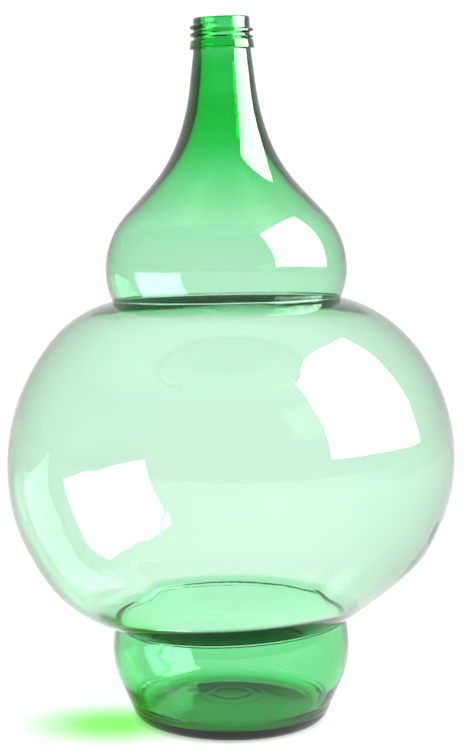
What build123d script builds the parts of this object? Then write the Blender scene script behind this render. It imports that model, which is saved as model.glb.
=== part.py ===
from build123d import *
from math import asin, cos, degrees, radians, sin
import os

# A green glass carboy, blown as three swellings one above the other: a base bowl, a wide
# globe, and a bulb that runs up into a long flaring neck with a 28 mm screw finish.
# Millimetres, +Z up.  The origin is on the surface that it stands on, at the bowl's centre.
#
# Each swelling is an outline in the half-plane of radius and height, spun about its axis.
# An outline runs on without a corner, so it is given as steps from its widest ring: arcs,
# each a radius and a turn, and straights.  The waists are the creases where one swelling
# meets the next.  Bulb, neck and finish share an axis that leans a little.

# Driving dimensions: base bowl
BOWL_RADIUS = 53.4              # at its widest ring
BOWL_WIDEST_Z = 32.5
BOWL_UPPER_ARC = 32.0           # meridian radius above the widest ring
BOWL_LOWER_ARC = 36.0           # and below it
BOWL_TAPER = 23.0               # of the straight side above the heel, from upright, degrees
BOWL_INNER_TAPER = 26.0         # of its inner face, so that the wall thickens towards the heel
BOWL_WALL = 1.9
HEEL_ARC = 6.0
INNER_HEEL_ARC = 9.0
FLOOR_EDGE_Z = 5.8
FLOOR_RISE = 4.0                # of the inner floor's crown over its edge
BEARING_WIDTH = 3.2             # flat ring that the carboy stands on
PUSH_UP_HEIGHT = 4.8            # hollow under the base

# Driving dimensions: globe
GLOBE_RADIUS = 100.2
GLOBE_WIDEST_Z = 117.5
GLOBE_UPPER_ARCS = ((84.0, 40.0), (56.0, 42.0))     # meridian radius, turn in degrees
GLOBE_LOWER_ARCS = ((78.0, 40.0), (84.0, 34.0))
GLOBE_WALL = 0.5                # at the widest ring
GLOBE_INNER_UPPER_ARCS = ((80.9, 35.5), (66.7, 51.2))   # 1.5 at the shoulder, 0.7 at the waist
GLOBE_INNER_LOWER_ARCS = ((77.5, 40.0), (58.0, 40.0))   # the wall thickens to 4 at the waist

# Driving dimensions: bulb and neck, in heights along their own axis.  The steps run up from
# the widest ring over shoulder and flare; the inner ones stay back, so that the wall thickens
# from under a millimetre in the bulb to four in the neck.
BULB_RADIUS = 53.7
BULB_WIDEST_Z = 203.0
BULB_LOWER_ARC = 32.0
BULB_WALL = 0.95
TOP_STEPS = ((37.0, 43.0), (0, 15.2), (65.0, -23.0), (100.0, -13.0))            # outside
TOP_INNER_STEPS = ((35.0, 45.4), (0, 14.6), (84.8, -15.9), (54.6, -22.5))       # inside
NECK_TAPER = 7.0                # of the straight upper neck, from upright, degrees

# Driving dimensions: screw finish for a 28 mm cap
FINISH_Z = 299.5                # underside of the bead
FINISH_HEIGHT = 13.9
FINISH_RADIUS = 12.4            # between the threads
MOUTH_RADIUS = 9.2
LIP_ROUNDING = 1.3
BEAD_RADIUS = 14.1
BEAD_TOP_RADIUS = 13.5
BEAD_HEIGHT = 4.0
THREAD_RADIUS = 13.7            # over the crests
THREAD_PITCH = 3.175
THREAD_TURNS = 1.65
THREAD_DROP = 3.9               # from the rim down to the upper end of the thread
THREAD_ROOT_WIDTH = 2.4
THREAD_CREST_WIDTH = 0.9

# Driving dimensions: how the swellings sit on each other
LOWER_WAIST_Z = 44.4
UPPER_WAIST_Z = 189.8
COLLAR = 1.5                    # from each crease to the joint, in the more upright wall
RUN_ON = 36.0                   # turn of a swelling's outline past its waist, in degrees
TOP_LEAN = 1.06                 # of the axis of bulb, neck and finish towards -X, in degrees
TOP_SHIFT = -2.0                # of that axis at the upper waist, along X
ROOT_SINK = 0.4                 # depth of the thread's root in the wall
TOUCHING = 1e-6                 # points nearer than this are one point

RIM_Z = FINISH_Z + FINISH_HEIGHT
LOWER_JOINT_Z = LOWER_WAIST_Z - COLLAR
UPPER_JOINT_Z = UPPER_WAIST_Z + COLLAR


def outline(start, heading, steps):
    """Edges that follow on from each other: (radius, turn) is an arc and (0, length) a straight."""
    edges = []
    for radius, amount in steps:
        if radius:
            edge = JernArc(start=start, tangent=heading, radius=radius, arc_size=amount)
        else:
            edge = Line(start, Vector(start) + Vector(heading).normalized() * amount)
        edges.append(edge)
        start, heading = edge @ 1, edge % 1
    return edges


def spin(edges, lower, upper):
    """The solid inside a spun outline that runs from the point lower to the point upper."""
    corners = [upper, Vector(0, upper.Y), Vector(0, lower.Y), lower]
    lid = [Line(a, b) for a, b in zip(corners, corners[1:]) if (a - b).length > TOUCHING]
    return revolve(Plane.XZ * make_face(edges + lid), Axis.Z)


def swelling(radius, widest_z, upper_steps, lower_steps):
    """A spun body from the steps above and below its widest ring; turns inwards are positive."""
    widest = (radius, widest_z)
    above = outline(widest, (0, 1), upper_steps)
    below = outline(widest, (0, -1), [(r, -a) if r else (r, a) for r, a in lower_steps])
    return spin(above + below, below[-1] @ 1, above[-1] @ 1)


def cap(edge_radius, edge_z, rise):
    """A shallow spherical dome standing on a flat disc."""
    sphere_radius = (edge_radius**2 + rise**2) / (2 * rise)
    half_angle = degrees(asin(edge_radius / sphere_radius))
    arc = JernArc((0, edge_z + rise), (1, 0), sphere_radius, -half_angle)
    return spin([arc], arc @ 1, arc @ 0)


def side_length(lower_arc, taper, heel_arc, foot_z):
    """Length of the bowl's straight side, down to where the heel's rounding starts."""
    top_z = BOWL_WIDEST_Z - lower_arc * sin(radians(taper))
    heel_start_z = foot_z + heel_arc * (1 - sin(radians(taper)))
    return (top_z - heel_start_z) / cos(radians(taper))


def bowl(wall, taper, heel_arc, foot_z):
    """The bowl's outside or, a wall further in, its inside, closed flat at the foot."""
    lower_arc = BOWL_LOWER_ARC - wall
    upper_steps = [(BOWL_UPPER_ARC - wall, RUN_ON)]
    lower_steps = [
        (lower_arc, taper),
        (0, side_length(lower_arc, taper, heel_arc, foot_z)),
        (heel_arc, 90.0 - taper),
    ]
    return swelling(BOWL_RADIUS - wall, BOWL_WIDEST_Z, upper_steps, lower_steps)


def foot_radius(body):
    """Radius of the flat disc that a body ends in below."""
    return body.faces().sort_by(Axis.Z)[0].edges()[0].radius


def bowl_outside():
    body = bowl(0, BOWL_TAPER, HEEL_ARC, 0)
    return body - cap(foot_radius(body) - BEARING_WIDTH, 0, PUSH_UP_HEIGHT)


def bowl_inside():
    hollow = bowl(BOWL_WALL, BOWL_INNER_TAPER, INNER_HEEL_ARC, FLOOR_EDGE_Z)
    return hollow - cap(foot_radius(hollow), FLOOR_EDGE_Z, FLOOR_RISE)


def globe_outside():
    return swelling(GLOBE_RADIUS, GLOBE_WIDEST_Z, GLOBE_UPPER_ARCS, GLOBE_LOWER_ARCS)


def globe_inside():
    radius = GLOBE_RADIUS - GLOBE_WALL
    return swelling(radius, GLOBE_WIDEST_Z, GLOBE_INNER_UPPER_ARCS, GLOBE_INNER_LOWER_ARCS)


def bulb_and_neck(wall, steps, straight_end):
    """The outside, or a wall further in the inside; straight_end gives the last step's length."""
    widest_radius = BULB_RADIUS - wall
    neck_end = outline((widest_radius, BULB_WIDEST_Z), (0, 1), steps)[-1] @ 1
    steps = [*steps, (0, straight_end(neck_end))]
    return swelling(widest_radius, BULB_WIDEST_Z, steps, [(BULB_LOWER_ARC - wall, RUN_ON)])


def top_outside():
    return bulb_and_neck(0, TOP_STEPS, lambda end: (FINISH_Z - end.Y) / cos(radians(NECK_TAPER)))


def top_inside():
    """The hollow of bulb and neck, and the cylindrical mouth that it narrows down to."""
    hollow = bulb_and_neck(
        BULB_WALL, TOP_INNER_STEPS, lambda end: (end.X - MOUTH_RADIUS) / sin(radians(NECK_TAPER)))
    bore_start = hollow.faces().sort_by(Axis.Z)[-1].center().Z
    bore = Cylinder(MOUTH_RADIUS, RIM_Z + 1.0 - bore_start, align=(Align.CENTER, Align.CENTER, Align.MIN))
    return hollow + Pos(0, 0, bore_start) * bore


def thread():
    """A right-hand ridge of trapezoidal section, wound on the finish."""
    height = THREAD_PITCH * THREAD_TURNS
    base_z = RIM_Z - THREAD_DROP - height
    root = FINISH_RADIUS - ROOT_SINK
    path = Helix(THREAD_PITCH, height, root, center=(0, 0, base_z))
    section_plane = Plane(origin=path @ 0, x_dir=(1, 0, 0), z_dir=path % 0)
    crest = THREAD_RADIUS - root
    section = Polygon(
        (0, -THREAD_ROOT_WIDTH / 2), (crest, -THREAD_CREST_WIDTH / 2),
        (crest, THREAD_CREST_WIDTH / 2), (0, THREAD_ROOT_WIDTH / 2), align=None)
    return sweep(section_plane * section, path=path, is_frenet=True)


def finish_outside():
    """The lip, the bead with its sharp underside, and the thread between them."""
    base = (Align.CENTER, Align.CENTER, Align.MIN)
    lip = Cylinder(FINISH_RADIUS, FINISH_HEIGHT, align=base)
    lip = fillet(lip.edges().sort_by(Axis.Z)[-1], LIP_ROUNDING)
    bead = Cone(BEAD_RADIUS, BEAD_TOP_RADIUS, BEAD_HEIGHT, align=base)
    return Pos(0, 0, FINISH_Z) * (lip + bead) + thread()


def leaned(shape):
    """Set a part of the top on its leaning axis, which turns about the upper waist."""
    waist = Pos(0, 0, UPPER_WAIST_Z)
    return Pos(TOP_SHIFT, 0, 0) * waist * Rot(0, -TOP_LEAN, 0) * waist.inverse() * shape


def only_solid(shape):
    solids = shape.solids()
    assert len(solids) == 1, f"expected one solid, found {len(solids)}"
    return solids[0]


def sections():
    """The wall of glass, parted at both waists and under the bead."""
    outside = bowl_outside() + globe_outside() + leaned(top_outside())
    inside = bowl_inside() + globe_inside() + leaned(top_inside())
    glass = outside - inside
    lower_joint = Plane.XY.offset(LOWER_JOINT_Z)
    upper_joint = leaned(Plane.XY.offset(UPPER_JOINT_Z))
    above_lower = split(glass, bisect_by=lower_joint, keep=Keep.TOP)
    return {
        "base_bowl": split(glass, bisect_by=lower_joint, keep=Keep.BOTTOM),
        "globe": split(above_lower, bisect_by=upper_joint, keep=Keep.BOTTOM),
        "bulb_and_neck": split(glass, bisect_by=upper_joint, keep=Keep.TOP),
        "threaded_finish": leaned(finish_outside()) - inside,
    }


os.makedirs("parts", exist_ok=True)
for name, section in sections().items():
    export_step(only_solid(section), f"parts/{name}.step")
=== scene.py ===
import math

import bpy
import numpy as np
from mathutils import Matrix, Vector


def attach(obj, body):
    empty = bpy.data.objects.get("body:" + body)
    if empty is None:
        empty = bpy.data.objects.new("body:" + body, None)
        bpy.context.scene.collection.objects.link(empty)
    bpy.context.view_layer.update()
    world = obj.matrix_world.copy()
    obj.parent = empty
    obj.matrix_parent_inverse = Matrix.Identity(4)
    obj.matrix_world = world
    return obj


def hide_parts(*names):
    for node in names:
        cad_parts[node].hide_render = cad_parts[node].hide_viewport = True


# A carboy of green glass on a pale floor.  The CAD gives its four sections; here each one is
# a closed wall of glass, drawn in the same place as a finer mesh with the small unevenness
# of blown glass.  Outlines are in millimetres in the half-plane of radius and height.

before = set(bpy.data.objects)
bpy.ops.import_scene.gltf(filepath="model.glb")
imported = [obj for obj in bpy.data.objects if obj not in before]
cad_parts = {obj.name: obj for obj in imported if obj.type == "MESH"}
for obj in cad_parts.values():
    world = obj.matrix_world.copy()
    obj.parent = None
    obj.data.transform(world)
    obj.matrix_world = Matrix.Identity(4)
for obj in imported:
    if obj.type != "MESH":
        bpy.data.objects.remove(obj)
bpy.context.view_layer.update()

MM = 0.001

# Outlines, with the sizes of the CAD model: steps are (radius, turn) arcs and (0, length)
# straights, and a positive turn is to the left of the way the outline runs.
BOWL_WIDEST = (53.4, 32.5)
BOWL_UPPER_ARC = 45.0           # a slower bend to the waist than the CAD model's
BOWL_UPPER_TURN = 30.0
BOWL_LOWER_ARC = 36.0
BOWL_TAPER, BOWL_INNER_TAPER = 23.0, 26.0
HEEL_ARC, INNER_HEEL_ARC = 6.0, 9.0
FLOOR_EDGE_Z, FLOOR_RISE = 5.8, 4.0
BEARING_WIDTH, PUSH_UP_HEIGHT = 3.2, 4.8

GLOBE_WIDEST = (100.2, 117.5)
GLOBE_UPPER_STEPS = [(84.0, 40.0), (56.0, 42.0)]
GLOBE_LOWER_STEPS = [(78.0, 40.0), (84.0, 34.0)]

BULB_WIDEST = (53.7, 203.0)
BULB_LOWER_ARC, BULB_LOWER_TURN = 32.0, 36.0
TOP_STEPS = [(37.0, 43.0), (0, 15.2), (65.0, -23.0), (100.0, -13.0)]
TOP_INNER_STEPS = [(35.0, 45.4), (0, 14.6), (84.8, -15.9), (54.6, -22.5)]
NECK_TAPER = 7.0

LOWER_WAIST_Z = 44.4
UPPER_WAIST_Z = 189.8
BOWL_WALL, GLOBE_WALL, BULB_WALL = 1.9, 0.5, 0.95

# The screw finish.
FINISH_Z = 299.5
RIM_Z = 313.4
MOUTH_RADIUS = 9.2
BORE_DEPTH = 4.0                # of the finish's own outline, from the rim down
FINISH_RADIUS = 12.4
BEAD_RADIUS, BEAD_TOP_RADIUS, BEAD_HEIGHT = 14.3, 13.7, 4.0

CREASE_REACH = 0.4              # the creases are rounded over this on each side
LOWER_INNER_REACH, UPPER_INNER_REACH = 0.6, 0.5

JOINT_GAP = 0.02                # between one section's end face and the next one's
COLLAR = 0.6                    # from each crease to the joint beside it, nearer than in the CAD
LOWER_JOINT_Z = LOWER_WAIST_Z - COLLAR
UPPER_JOINT_Z = UPPER_WAIST_Z + COLLAR

TRACE_STEP = 0.2                # spacing of an outline's points before they are thinned
TINY = 1e-12                    # far below every other number here, and so as good as nothing


# ---------------------------------------------------------------- outlines


def trace(start, heading, steps):
    """Points along arcs and straights that follow on without a corner; heading in degrees."""
    points = [np.array(start, float)]
    for radius, amount in steps:
        here = points[-1]
        length = radius * math.radians(abs(amount)) if radius else amount
        count = max(2, math.ceil(length / TRACE_STEP))
        way = math.radians(heading)
        if radius:
            side = math.copysign(1.0, amount)
            centre = here + side * radius * np.array([-math.sin(way), math.cos(way)])
            for i in range(1, count + 1):
                turned = way + math.radians(amount) * i / count
                left = np.array([-math.sin(turned), math.cos(turned)])
                points.append(centre - side * radius * left)
            heading += amount
        else:
            for i in range(1, count + 1):
                points.append(here + length * i / count * np.array([math.cos(way), math.sin(way)]))
    return np.array(points)


def swelling(widest, upper_steps, lower_steps):
    """An outline from its lower end, through its widest ring, to its upper end."""
    above = trace(widest, 90.0, upper_steps)
    below = trace(widest, -90.0, [(r, -a) if r else (r, a) for r, a in lower_steps])
    return np.vstack([below[:0:-1], above])


def curved(start, corner, end, t):
    """The curve that leaves start for the corner and comes to end from it, at the shares t."""
    return (1 - t) ** 2 * start + 2 * t * (1 - t) * corner + t**2 * end


def crossing(a, b):
    """Where outline a meets outline b: the point, and the segment of each that it is on."""
    p, r = a[:-1, None], np.diff(a, axis=0)[:, None]
    q, s = b[None, :-1], np.diff(b, axis=0)[None]
    turn = r[..., 0] * s[..., 1] - r[..., 1] * s[..., 0]
    turn[np.abs(turn) < TINY] = np.nan
    t = ((q - p)[..., 0] * s[..., 1] - (q - p)[..., 1] * s[..., 0]) / turn
    u = ((q - p)[..., 0] * r[..., 1] - (q - p)[..., 1] * r[..., 0]) / turn
    i, j = np.argwhere((t >= 0) & (t < 1) & (u >= 0) & (u < 1))[0]
    return a[i] + t[i, j] * (a[i + 1] - a[i]), i, j


def creased(a, b, reach):
    """Outline a up to where it meets b, then b; the crease is rounded over a reach on each side."""
    corner, i, j = crossing(a, b)
    before = a[: i + 1]
    after = b[j + 1 :]
    before = before[np.linalg.norm(before - corner, axis=1) > reach]
    after = after[np.linalg.norm(after - corner, axis=1) > reach]
    t = np.linspace(0.0, 1.0, 9)[1:-1, None]
    return np.vstack([before, curved(before[-1], corner, after[0], t), after])


def cut_at(points, z):
    """An outline that rises through a height, cut there: the part below and the part above."""
    i = int(np.argmax(points[:, 1] > z))
    low, high = points[i - 1], points[i]
    at = low + (high - low) * (z - low[1]) / (high[1] - low[1])
    return np.vstack([points[:i], at]), np.vstack([at, points[i:]])


def thinned(points, spacing, count=None):
    """The outline's points at a spacing that may vary along it, or in a given number of steps."""
    steps = np.linalg.norm(np.diff(points, axis=0), axis=1)
    middle = (points[1:] + points[:-1]) / 2
    along = np.concatenate([[0.0], np.cumsum(steps)])
    due = np.concatenate([[0.0], np.cumsum(steps / spacing(middle[:, 0], middle[:, 1]))])
    count = count or max(2, math.ceil(due[-1]))
    at = np.interp(np.linspace(0, due[-1], count + 1), due, along)
    return np.column_stack([np.interp(at, along, points[:, k]) for k in (0, 1)])


def bowl_outline(wall, taper, heel_arc, foot_z):
    """The bowl's outside or, a wall further in, its inside."""
    lower_arc = BOWL_LOWER_ARC - wall
    side_top_z = BOWL_WIDEST[1] - lower_arc * math.sin(math.radians(taper))
    heel_top_z = foot_z + heel_arc * (1 - math.sin(math.radians(taper)))
    side = (side_top_z - heel_top_z) / math.cos(math.radians(taper))
    upper = [(BOWL_UPPER_ARC - wall, BOWL_UPPER_TURN)]
    lower = [(lower_arc, taper), (0, side), (heel_arc, 90.0 - taper)]
    return swelling((BOWL_WIDEST[0] - wall, BOWL_WIDEST[1]), upper, lower)


def bulb_outline(wall, steps, straight_end):
    """Bulb and neck; straight_end gives the length of the last step from where it starts."""
    start = (BULB_WIDEST[0] - wall, BULB_WIDEST[1])
    last = straight_end(trace(start, 90.0, steps)[-1])
    return swelling(start, [*steps, (0, last)], [(BULB_LOWER_ARC - wall, BULB_LOWER_TURN)])


def dome(edge_radius, edge_z, rise):
    """From the middle of a shallow dome out to its edge."""
    sphere = (edge_radius**2 + rise**2) / (2 * rise)
    half = math.degrees(math.asin(edge_radius / sphere))
    return trace((0, edge_z + rise), 0.0, [(sphere, -half)])


def globe_outside():
    return swelling(GLOBE_WIDEST, GLOBE_UPPER_STEPS, GLOBE_LOWER_STEPS)


def globe_inside(below, reach, above):
    """The globe's inner wall.  The glass thickens by the amount below over a reach from the
    lower waist, and by the amount above on the shoulder, not far from the upper waist."""
    shoulder_rise, shoulder_fall = 15.0, 14.0       # lengths along the outline
    line = globe_outside()
    way = np.gradient(line, axis=0)
    inward = np.column_stack([-way[:, 1], way[:, 0]]) / np.linalg.norm(way, axis=1)[:, None]
    run = np.concatenate([[0.0], np.cumsum(np.linalg.norm(np.diff(line, axis=0), axis=1))])
    low, high = (np.interp(z, line[:, 1], run) for z in (LOWER_WAIST_Z, UPPER_WAIST_Z))
    near = np.clip((run - low) / reach, 0.0, 1.0)
    foot = 0.3 * (1 - near) + 0.7 * (1 - near**2) ** 1.5
    up = np.clip(high - run, 0.0, shoulder_rise) / shoulder_rise
    down = np.clip(high - run - shoulder_rise, 0.0, shoulder_fall) / shoulder_fall
    rising = 0.6 * up + 0.4 * up**2
    falling = 2 * down**3 - 3 * down**2 + 1 + 1.3 * (down**3 - 2 * down**2 + down)
    shoulder = np.where(high - run < shoulder_rise, rising, falling)
    thickness = GLOBE_WALL + below * foot + above * shoulder
    return line + inward * thickness[:, None]


def outside():
    """The outline of the glass from the heel's foot to the underside of the bead."""
    bowl = bowl_outline(0, BOWL_TAPER, HEEL_ARC, 0.0)
    taper = math.radians(NECK_TAPER)
    bulb = bulb_outline(0, TOP_STEPS, lambda at: (FINISH_Z - at[1]) / math.cos(taper))
    return creased(creased(bowl, globe_outside(), CREASE_REACH), bulb, CREASE_REACH)


def inside(below, reach, above):
    """The outline of the hollow from the floor's edge to where the bore starts."""
    bowl = bowl_outline(BOWL_WALL, BOWL_INNER_TAPER, INNER_HEEL_ARC, FLOOR_EDGE_Z)
    globe = globe_inside(below, reach, above)
    taper = math.radians(NECK_TAPER)
    bulb = bulb_outline(
        BULB_WALL, TOP_INNER_STEPS, lambda at: (at[0] - MOUTH_RADIUS) / math.sin(taper))
    return creased(creased(bowl, globe, LOWER_INNER_REACH), bulb, UPPER_INNER_REACH)


# ---------------------------------------------------------------- unevenness of blown glass

# How the rings of the wall sit: at each height, the shift of a ring's centre along X and the
# slope of its plane along X and along Y.  The neck leans to -X as the CAD model's does.
SIT_Z, SIT_X, SIT_SLOPE_X, SIT_SLOPE_Y = np.array([
    (0.0, 0.0, 0.0, 0.0),
    (30.0, 0.0, 0.010, -0.006),
    (44.4, -0.2, 0.045, -0.018),
    (54.0, -2.4, 0.045, -0.010),
    (80.0, -1.6, 0.0, 0.0),
    (117.5, 0.0, 0.0, 0.0),
    (165.0, 0.4, 0.0, 0.0),
    (183.0, -1.2, 0.012, -0.035),
    (189.8, -2.0, 0.019, -0.042),
    (203.0, -2.2, 0.012, -0.035),
    (250.0, -3.1, 0.012, 0.0),
    (299.5, -4.0, 0.035, 0.0),
    (314.0, -4.3, 0.038, 0.0),
]).T


def smoothly(z, at, values):
    """A curve through the values that has no corners and doesn't overshoot."""
    i = np.clip(np.searchsorted(at, z) - 1, 0, len(at) - 2)
    t = np.clip((z - at[i]) / (at[i + 1] - at[i]), 0.0, 1.0)
    rise = np.diff(values) / np.diff(at)
    product, total = rise[1:] * rise[:-1], rise[1:] + rise[:-1]
    inner = np.where(product > 0, 2 * product / (total + TINY), 0)
    slope = np.concatenate([[0.0], inner, [0.0]])
    width = at[i + 1] - at[i]
    return (
        values[i] * (2 * t**3 - 3 * t**2 + 1)
        + slope[i] * width * (t**3 - 2 * t**2 + t)
        + values[i + 1] * (3 * t**2 - 2 * t**3)
        + slope[i + 1] * width * (t**3 - t**2)
    )


def blown(z):
    """How far the glass at a height was blown out: 0 in the heel and neck, 1 in the swellings."""
    return np.clip((z - 12.0) / 20.0, 0, 1) * np.clip((262.0 - z) / 40.0, 0, 1)


def swell(z, turn):
    """How far blown glass stands out beyond a true circle, in millimetres."""
    lobes = 0.28 * np.cos(2 * turn + 0.6 + z / 60.0) + 0.16 * np.cos(3 * turn - 1.1 - z / 45.0)
    ripple = 0.05 * np.cos(7 * turn + z / 17.0) * np.cos(z / 23.0)
    return blown(z) * (lobes + ripple)


def step_up(z, turn):
    """How far the lower waist is raised at the back: broadly, and by a step with short sides."""
    middle, half, ends = (math.radians(angle) for angle in (82.0, 52.0, 12.0))
    off = np.abs(np.remainder(turn - middle + math.pi, 2 * math.pi) - math.pi)
    side = np.clip((half - off) / ends + 0.5, 0.0, 1.0)
    broad = np.clip(np.cos(turn - math.radians(135.0)), 0, 1) ** 0.7
    step, swing = 3.0, 2.6
    rise = step * side * side * (3 - 2 * side) + swing * broad
    level, reach = 46.5, 11.0
    return rise * np.exp(-(((z - level) / reach) ** 2))


def thread(z, turn):
    """Height of the right-hand thread over the finish: a ridge that fades in and out."""
    pitch, first_depth, turns = 3.175, 9.14, 1.65
    ridge, crest, foot = 1.5, 0.45, 1.2
    height = np.zeros_like(z * turn)
    for lap in range(-1, 3):
        travel = turn / (2 * math.pi) + lap
        middle = RIM_Z - first_depth + pitch * travel
        fade = np.clip((travel + 0.22) / 0.2, 0, 1) * np.clip((turns + 0.1 - travel) / 0.25, 0, 1)
        off = np.abs(z - middle)
        section = np.clip((foot - off) / (foot - crest), 0, 1)
        section = section * section * (3 - 2 * section)
        height = np.maximum(height, ridge * section * fade)
    return height


def fold(z, turn):
    """Depth of a short fold that stands in from the globe's inner wall, low on the right."""
    start_z, height, depth, half_width = 64.0, 30.0, 2.4, math.radians(2.0)
    run = (z - start_z) / height
    middle = np.radians(-6.0 - 15.0 * run)
    off = (turn - 2 * math.pi * (turn > math.pi) - middle) / half_width
    return depth * np.exp(-(off**2)) * np.clip(1 - (2 * run - 1) ** 2, 0, 1)


def stipple(radius, turn):
    """How far the bearing ring is pressed up between its small knurls."""
    ring, half_width, depth, knurls = 37.4, 2.2, 0.28, 104
    across = np.clip(1 - np.abs(radius - ring) / half_width, 0, 1)
    return depth * across * (0.5 - 0.5 * np.cos(knurls * turn))


# ---------------------------------------------------------------- meshes


def spun(name, loop, columns, front=None, back=None, folded=None, threaded=None, hard=()):
    """Spins a cross-section into a closed mesh.  A loop that starts and ends on the axis gets
    a single point there.  The section may change into others towards the front and the back.
    folded and threaded weight each point's share of the fold and the thread, and hard lists
    the points whose ring is a sharp edge."""
    turn = 2 * math.pi * np.arange(columns) / columns
    height, radius = loop[:, 1:], loop[:, :1]
    for other, way, start, full in ((front, -1, 0.5, 0.95), (back, 1, 0.3, 0.65)):
        if other is not None:
            share = np.clip((way * np.sin(turn) - start) / (full - start), 0.0, 1.0)
            share = share * share * (3 - 2 * share)
            height = height + (other - loop)[:, 1:] * share
            radius = radius + (other - loop)[:, :1] * share
    radius = radius + swell(height, turn)
    if folded is not None:
        radius = radius - folded[:, None] * fold(height, turn)
    if threaded is not None:
        radius = radius + threaded[:, None] * thread(height, turn)
    height = height + (loop[:, 1:] < 1.0) * stipple(radius, turn) + step_up(height, turn)
    east, north = radius * np.cos(turn), radius * np.sin(turn)
    x = east + smoothly(height, SIT_Z, SIT_X)
    slope_x, slope_y = smoothly(height, SIT_Z, SIT_SLOPE_X), smoothly(height, SIT_Z, SIT_SLOPE_Y)
    z = height + east * slope_x + north * slope_y
    points = np.stack([x, north, z], axis=-1) * MM

    rows = len(loop)
    on_axis = loop[0, 0] == 0.0
    if on_axis:
        between_ends = (rows - 2) * columns
        index = 1 + np.arange(between_ends).reshape(rows - 2, columns)
        index = np.vstack([np.zeros(columns, int), index, np.full(columns, between_ends + 1)])
        middle = points[1:-1].reshape(-1, 3)
        vertices = np.vstack([points[0, :1], middle, points[-1, :1]])
    else:
        index = np.arange(rows * columns).reshape(rows, columns)
        vertices = points.reshape(-1, 3)
    faces = []
    for i in range(rows - 1 if on_axis else rows):
        here, ahead = index[i].tolist(), index[(i + 1) % rows].tolist()
        for j in range(columns):
            k = (j + 1) % columns
            if here[j] == here[k]:
                faces.append((here[j], ahead[k], ahead[j]))
            elif ahead[j] == ahead[k]:
                faces.append((here[j], here[k], ahead[j]))
            else:
                faces.append((here[j], here[k], ahead[k], ahead[j]))
    mesh = bpy.data.meshes.new(name)
    mesh.from_pydata(vertices.tolist(), [], faces)
    mesh.shade_smooth()
    rim = np.zeros(len(vertices), int)
    for number, row in enumerate(hard, 1):
        rim[index[row]] = number
    for edge in mesh.edges:
        a, b = edge.vertices
        if rim[a] and rim[a] == rim[b]:
            edge.use_edge_sharp = True
    piece = bpy.data.objects.new(name, mesh)
    bpy.context.scene.collection.objects.link(piece)
    return piece


def near_waists(radius, z):
    """Spacing of points along an outline: fine at the creases and long on the swellings."""
    off = np.minimum(np.abs(z - LOWER_WAIST_Z), np.abs(z - UPPER_WAIST_Z))
    return np.clip(0.22 + 0.22 * off, 0.22, 2.2)


def along_base(radius, z):
    """Finest at the heel's two grooves, and finer on the floor than on the side."""
    grooves = (z > 4.6) & (z < 9.4) & (radius > 43.0)
    spacing = np.where(grooves, 0.25, np.where(z < 9.9, 0.8, 1.2))
    return np.minimum(near_waists(radius, z), spacing)


def along_neck(radius, z):
    """A little finer just under the bead."""
    return np.minimum(near_waists(radius, z), np.where(z > 290.0, 1.0, 1.6))


def along_finish(radius, z):
    """Fine outside, where bead, threads and lip are, and longer in the bore."""
    return np.where(radius > 9.3, 0.2, 0.7)


def softened(corners):
    """A line through corners that are each rounded over their own reach."""
    points = [np.array(c[:2], float) for c in corners]
    line = [points[0]]
    for i in range(1, len(points) - 1):
        reach = corners[i][2]
        ends = []
        for other in (points[i - 1], points[i + 1]):
            ends.append(points[i] + (other - points[i]) * reach / np.linalg.norm(other - points[i]))
        for t in np.linspace(0.0, 1.0, 9):
            line.append(curved(ends[0], points[i], ends[1], t))
    line.append(points[-1])
    return np.array(line)


def wall(outer, inner, spacing):
    """The closed loop of a section: up the outside, across, down the inside and across."""
    up, down = thinned(outer, spacing), thinned(inner, spacing)[::-1]
    loop = np.vstack([up, down])
    return loop, (0, len(up) - 1, len(up), len(loop) - 1)


def base_loop(outer, inner):
    """The bowl with its push-up: it starts and ends on the axis."""
    foot_outside, foot_inside = outer[0], inner[0]
    outer = outer.copy()
    for groove_z in (5.6, 8.4):
        outer[:, 0] -= 0.2 * np.exp(-(((outer[:, 1] - groove_z) / 0.35) ** 2))
    hollow_edge = foot_outside[0] - BEARING_WIDTH
    push_up = dome(hollow_edge, 0.0, PUSH_UP_HEIGHT)
    under = np.vstack([push_up, foot_outside + np.array([-BEARING_WIDTH / 2, 0.0]), outer])
    floor = dome(foot_inside[0], foot_inside[1], FLOOR_RISE)
    for ring_radius, ring_height in ((8.0, 0.12), (14.0, 0.1)):
        floor[:, 1] += ring_height * np.exp(-(((floor[:, 0] - ring_radius) / 1.2) ** 2))
    inside_up = np.vstack([floor, inner])
    up, down = thinned(under, along_base), thinned(inside_up, along_base)[::-1]
    up[0, 0] = down[-1, 0] = 0.0
    loop = np.vstack([up, down])
    return loop, (len(up) - 1, len(up))


def finish_loop(outer_start, inner):
    """Bead, threaded wall, lip and bore."""
    z = FINISH_Z + JOINT_GAP / 2
    bead_top = FINISH_Z + BEAD_HEIGHT
    line = softened([
        (outer_start, z),
        (BEAD_RADIUS, z, 0.25),
        (BEAD_TOP_RADIUS, bead_top, 0.5),
        (FINISH_RADIUS, bead_top + 0.1, 0.3),
        (FINISH_RADIUS, RIM_Z, 1.3),
        (MOUTH_RADIUS, RIM_Z, 0.7),
        (MOUTH_RADIUS, RIM_Z - BORE_DEPTH),
    ])
    up = thinned(line, along_finish)
    down = thinned(inner, along_finish)[::-1]
    loop = np.vstack([up, down[1:]])
    outward = (loop[:, 0] > 11.0) & (np.arange(len(loop)) < len(up))
    carries = outward * np.clip((loop[:, 1] - (bead_top + 0.2)) / 0.4, 0, 1)
    carries = carries * np.clip((RIM_Z - 1.2 - loop[:, 1]) / 0.4, 0, 1)
    return loop, carries, (0, len(loop) - 1)


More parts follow.
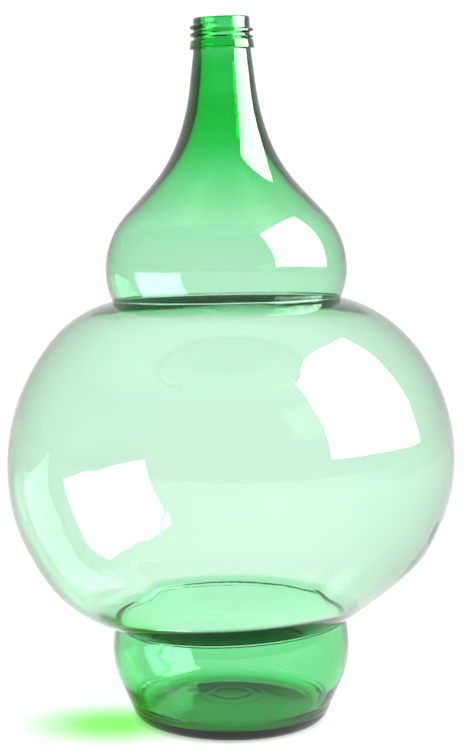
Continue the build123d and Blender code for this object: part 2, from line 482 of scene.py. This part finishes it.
def parted(line):
    """The globe's inner wall, parted at its two inner corners, the narrowest of each half."""
    far = 99.0
    low = int(np.argmin(line[:, 0] + far * (line[:, 1] > GLOBE_WIDEST[1])))
    high = int(np.argmin(line[:, 0] + far * (line[:, 1] < GLOBE_WIDEST[1])))
    return line[: low + 1], line[low : high + 1], line[high:]


def matched(lines, spacing):
    """Like lines, each with its points where the first one has them."""
    result = [[] for _ in lines]
    for number, parts in enumerate(zip(*(parted(line) for line in lines))):
        count = len(thinned(parts[0], spacing)) - 1
        for points, part in zip(result, parts):
            part = thinned(part, spacing, count)
            points.append(part if number == 2 else part[:-1])
    return [np.vstack(points) for points in result]


def between(line, low, high):
    """The part of an outline between two heights."""
    _, above = cut_at(line, low)
    below, _ = cut_at(above, high)
    return below


def into_bore(line):
    """The hollow's outline, eased into the bore over a reach on each side of where it starts."""
    reach = 6.0
    bore = line[-1]
    start = line[np.linalg.norm(line - bore, axis=1) > reach]
    t = np.linspace(0.0, 1.0, 25)[1:, None]
    bend = curved(start[-1], bore, bore + np.array([0.0, reach]), t)
    return np.vstack([start, bend, [MOUTH_RADIUS, RIM_Z - BORE_DEPTH + 0.1]])


# The globe's glass thickens by so much near its lower end, over such a reach, and by so much
# on its shoulder: at the sides, at the front and at the back.
outer_line = outside()
inner_line = into_bore(inside(1.0, 9.0, 0.0))
inner_line_front, inner_line_back = inside(1.6, 24.0, 0.0), inside(1.3, 6.5, 1.4)
half_gap = JOINT_GAP / 2

bowl_outer, _ = cut_at(outer_line, LOWER_JOINT_Z - half_gap)
bowl_inner, _ = cut_at(inner_line, LOWER_JOINT_Z - half_gap)
loop, rims = base_loop(bowl_outer, bowl_inner)
base_bowl = spun("base_bowl_glass", loop, 384, hard=rims)

low, high = LOWER_JOINT_Z + half_gap, UPPER_JOINT_Z - half_gap
up = thinned(between(outer_line, low, high), near_waists)
inner_lines = (inner_line, inner_line_front, inner_line_back)
walls = matched([between(line, low, high) for line in inner_lines], near_waists)
side, front, back = (np.vstack([up, line[::-1]]) for line in walls)
rims = (0, len(up) - 1, len(up), len(side) - 1)
inner_wall = np.arange(len(side)) >= len(up)
globe = spun("globe_glass", side, 256, front, back, folded=inner_wall, hard=rims)

low, high = UPPER_JOINT_Z + half_gap, FINISH_Z - half_gap
neck_outer = np.vstack([cut_at(outer_line, low)[1], [outer_line[-1, 0], high]])
neck_outer = neck_outer[neck_outer[:, 1] <= high]
loop, rims = wall(neck_outer, between(inner_line, low, high), along_neck)
bulb_and_neck = spun("bulb_and_neck_glass", loop, 256, hard=rims)

_, mouth_inner = cut_at(inner_line, FINISH_Z + half_gap)
loop, carries, rims = finish_loop(outer_line[-1, 0], mouth_inner)
finish = spun("threaded_finish_glass", loop, 360, threaded=carries, hard=rims)


# ---------------------------------------------------------------- materials


def add(nodes, kind, **values):
    """A new node, with values for its inputs and its own settings."""
    node = nodes.new(kind)
    for key, value in values.items():
        if key in node.inputs:
            node.inputs[key].default_value = value
        else:
            setattr(node, key, value)
    return node


def ramp(nodes, start, end, low, high, shape="SMOOTHSTEP"):
    """A map from the range start to end onto the range low to high."""
    node = add(nodes, "ShaderNodeMapRange", interpolation_type=shape)
    for name, value in (("From Min", start), ("From Max", end), ("To Min", low), ("To Max", high)):
        node.inputs[name].default_value = value
    return node


def colours(sockets):
    """The colour sockets of a mixing node, which has more sockets of the same names."""
    return [socket for socket in sockets if socket.type == "RGBA"]


def green_glass():
    """Clear glass that takes its green from its depth."""
    material = bpy.data.materials.new("green_glass")
    material.use_nodes = True
    nodes, links = material.node_tree.nodes, material.node_tree.links
    shader = nodes["Principled BSDF"]
    shader.inputs["Base Color"].default_value = (1, 1, 1, 1)
    shader.inputs["Transmission Weight"].default_value = 1.0
    shader.inputs["IOR"].default_value = 1.52
    place = add(nodes, "ShaderNodeTexCoord")

    # Long soft waves of the blown wall, and the fine grain of its surface.
    waves = add(nodes, "ShaderNodeTexNoise", Scale=38.0, Detail=2.0, Roughness=0.45)
    grain = add(nodes, "ShaderNodeTexNoise", Scale=420.0, Detail=3.0, Roughness=0.5)
    links.new(place.outputs["Object"], waves.inputs["Vector"])
    links.new(place.outputs["Object"], grain.inputs["Vector"])
    soft = add(nodes, "ShaderNodeBump", Strength=1.0, Distance=0.00022)
    fine = add(nodes, "ShaderNodeBump", Strength=1.0, Distance=0.000004)
    links.new(waves.outputs["Fac"], soft.inputs["Height"])
    links.new(grain.outputs["Fac"], fine.inputs["Height"])
    links.new(soft.outputs["Normal"], fine.inputs["Normal"])
    links.new(fine.outputs["Normal"], shader.inputs["Normal"])

    # A little haze where the glass has been handled.
    haze = add(nodes, "ShaderNodeTexNoise", Scale=22.0, Detail=4.0, Roughness=0.6)
    span = ramp(nodes, 0.45, 0.8, 0.0, 0.03, "LINEAR")
    links.new(place.outputs["Object"], haze.inputs["Vector"])
    links.new(haze.outputs["Fac"], span.inputs["Value"])
    links.new(span.outputs["Result"], shader.inputs["Roughness"])

    absorb = add(nodes, "ShaderNodeVolumeAbsorption")
    absorb.inputs["Density"].default_value = 430.0
    absorb.inputs["Color"].default_value = (0.012, 0.845, 0.309, 1.0)
    links.new(absorb.outputs["Volume"], nodes["Material Output"].inputs["Volume"])
    return material


glass = green_glass()
for piece, node in ((base_bowl, "base_bowl"), (globe, "globe"), (bulb_and_neck, "bulb_and_neck"),
                    (finish, "threaded_finish")):
    piece.data.materials.append(glass)
    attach(piece, "root")
    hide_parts(node)


# ---------------------------------------------------------------- stage, light and camera


def stage():
    """A plain pale floor that is lit evenly towards the horizon, with a painted shadow under the
    base and a painted green glow beside it.
    """
    mesh = bpy.data.meshes.new("floor")
    side = 60.0
    corners = [(-side, -side, 0), (side, -side, 0), (side, side, 0), (-side, side, 0)]
    mesh.from_pydata(corners, [], [(0, 1, 2, 3)])
    floor = bpy.data.objects.new("floor", mesh)
    bpy.context.scene.collection.objects.link(floor)
    material = bpy.data.materials.new("floor")
    material.use_nodes = True
    nodes, links = material.node_tree.nodes, material.node_tree.links
    shader = nodes["Principled BSDF"]
    shader.inputs["Roughness"].default_value = 1.0
    shader.inputs["Specular IOR Level"].default_value = 0.0
    place = add(nodes, "ShaderNodeTexCoord")

    # A painted green glow on the floor beside the base stands in for the light that the base lets
    # through.
    glow_x, glow_y, half_x, half_y = -0.055, -0.016, 0.048, 0.038
    patch = add(nodes, "ShaderNodeMapping", vector_type="POINT")
    patch.inputs["Location"].default_value = (-glow_x / half_x, -glow_y / half_y, 0)
    patch.inputs["Scale"].default_value = (1 / half_x, 1 / half_y, 1)
    reach = add(nodes, "ShaderNodeVectorMath", operation="LENGTH")
    fade = ramp(nodes, 0.1, 1.0, 1.0, 0.0)
    painted_glow = add(nodes, "ShaderNodeMix", data_type="RGBA")
    links.new(place.outputs["Object"], patch.inputs["Vector"])
    links.new(patch.outputs["Vector"], reach.inputs[0])
    links.new(reach.outputs["Value"], fade.inputs["Value"])
    links.new(fade.outputs["Result"], painted_glow.inputs["Factor"])
    plain, lime = colours(painted_glow.inputs)
    plain.default_value, lime.default_value = (1, 1, 1, 1), (0.22, 1.0, 0.09, 1)
    away = add(nodes, "ShaderNodeVectorMath", operation="LENGTH")
    links.new(place.outputs["Object"], away.inputs[0])

    # Under the base the floor gives off less light, a painted shadow, and from afar it is white
    # like the surroundings.
    near = ramp(nodes, 0.038, 0.048, 0.45, 0.90)
    far = ramp(nodes, 0.4, 1.8, 0.0, 0.06)
    beyond = ramp(nodes, 0.08, 0.2, 0.0, 1.0)
    for node in (near, far, beyond):
        links.new(away.outputs["Value"], node.inputs["Value"])
    both = add(nodes, "ShaderNodeMath", operation="ADD")
    for number, node in enumerate((near, far)):
        links.new(node.outputs["Result"], both.inputs[number])
    # Beyond the base the floor also takes the painted dark green shade of dimmed, for light that
    # the glass has reflected before it let it through.
    seen = add(nodes, "ShaderNodeMix", data_type="RGBA", blend_type="MULTIPLY")
    links.new(beyond.outputs["Result"], seen.inputs["Factor"])
    links.new(colours(painted_glow.outputs)[0], colours(seen.inputs)[0])
    links.new(dimmed(nodes, links, add(nodes, "ShaderNodeLightPath")), colours(seen.inputs)[1])
    links.new(colours(seen.outputs)[0], shader.inputs["Emission Color"])
    links.new(both.outputs["Value"], shader.inputs["Emission Strength"])
    shader.inputs["Base Color"].default_value = (0.09, 0.09, 0.09, 1)
    mesh.materials.append(material)


def soft_box():
    """One soft light, high on the right and in front, with its width along the vector across."""
    light = bpy.data.lights.new("soft_box", "AREA")
    light.shape = "RECTANGLE"
    light.size, light.size_y = 1.45, 1.39
    light.energy = 105.0
    box = bpy.data.objects.new("soft_box", light)
    across = Vector((0.102, 0.712, -0.073)).normalized()
    away = Vector((0.973, -0.119, 0.197))
    away = (away - away.dot(across) * across).normalized()
    up = away.cross(across)
    turned = Matrix((across, up, away)).transposed().to_4x4()
    box.matrix_world = Matrix.Translation((1.145, -0.195, 0.965)) @ turned
    bpy.context.scene.collection.objects.link(box)


def dimmed(nodes, links, ray):
    """White, and a painted dark green shade for light that the glass has reflected before it let it
    through.
    """
    turned = add(nodes, "ShaderNodeMath", operation="GREATER_THAN")
    links.new(ray.outputs["Glossy Depth"], turned.inputs[0])
    both = add(nodes, "ShaderNodeMath", operation="MULTIPLY")
    links.new(ray.outputs["Is Transmission Ray"], both.inputs[0])
    links.new(turned.outputs["Value"], both.inputs[1])
    level = add(nodes, "ShaderNodeMix", data_type="RGBA")
    white, green = colours(level.inputs)
    white.default_value, green.default_value = (1, 1, 1, 1), (0.012, 0.075, 0.018, 1)
    links.new(both.outputs["Value"], level.inputs["Factor"])
    return colours(level.outputs)[0]


def surroundings():
    """White all round; as the glass reflects it, white behind the carboy and dark in front; painted
    dark green shade for light that the glass has reflected before it let it through.
    """
    world = bpy.data.worlds.new("surroundings")
    bpy.context.scene.world = world
    world.use_nodes = True
    nodes, links = world.node_tree.nodes, world.node_tree.links
    ray = add(nodes, "ShaderNodeLightPath")
    place = add(nodes, "ShaderNodeTexCoord")
    axes = add(nodes, "ShaderNodeSeparateXYZ")
    room = ramp(nodes, -0.7, 0.5, 0.03, 0.95)
    links.new(place.outputs["Generated"], axes.inputs["Vector"])
    links.new(axes.outputs["Y"], room.inputs["Value"])
    level = add(nodes, "ShaderNodeMapRange")
    level.inputs["To Min"].default_value = 1.13
    links.new(room.outputs["Result"], level.inputs["To Max"])
    mirrored = add(nodes, "ShaderNodeMath", operation="MULTIPLY")
    links.new(ray.outputs["Is Glossy Ray"], mirrored.inputs[0])
    links.new(ray.outputs["Is Reflection Ray"], mirrored.inputs[1])
    links.new(mirrored.outputs["Value"], level.inputs["Value"])
    links.new(level.outputs["Result"], nodes["Background"].inputs["Strength"])
    # Painted shade: dark green for light that the glass has reflected before it let it through.
    links.new(dimmed(nodes, links, ray), nodes["Background"].inputs["Color"])


def camera():
    """A long lens a little above the globe's middle, looking slightly down."""
    lens = bpy.data.cameras.new("camera")
    lens.lens = 91.3
    lens.sensor_width = 36.0
    lens.clip_start, lens.clip_end = 0.05, 200.0
    viewer = bpy.data.objects.new("camera", lens)
    viewer.location = (0.00125, -0.85, 0.2625)
    aim = Vector((0.00125, 0.0, 0.1545)) - viewer.location
    viewer.rotation_euler = aim.to_track_quat("-Z", "Y").to_euler()
    bpy.context.scene.collection.objects.link(viewer)
    bpy.context.scene.camera = viewer


stage()
soft_box()
surroundings()
camera()
bpy.context.scene.view_settings.view_transform = "Standard"
bpy.context.scene.cycles.blur_glossy = 0.0
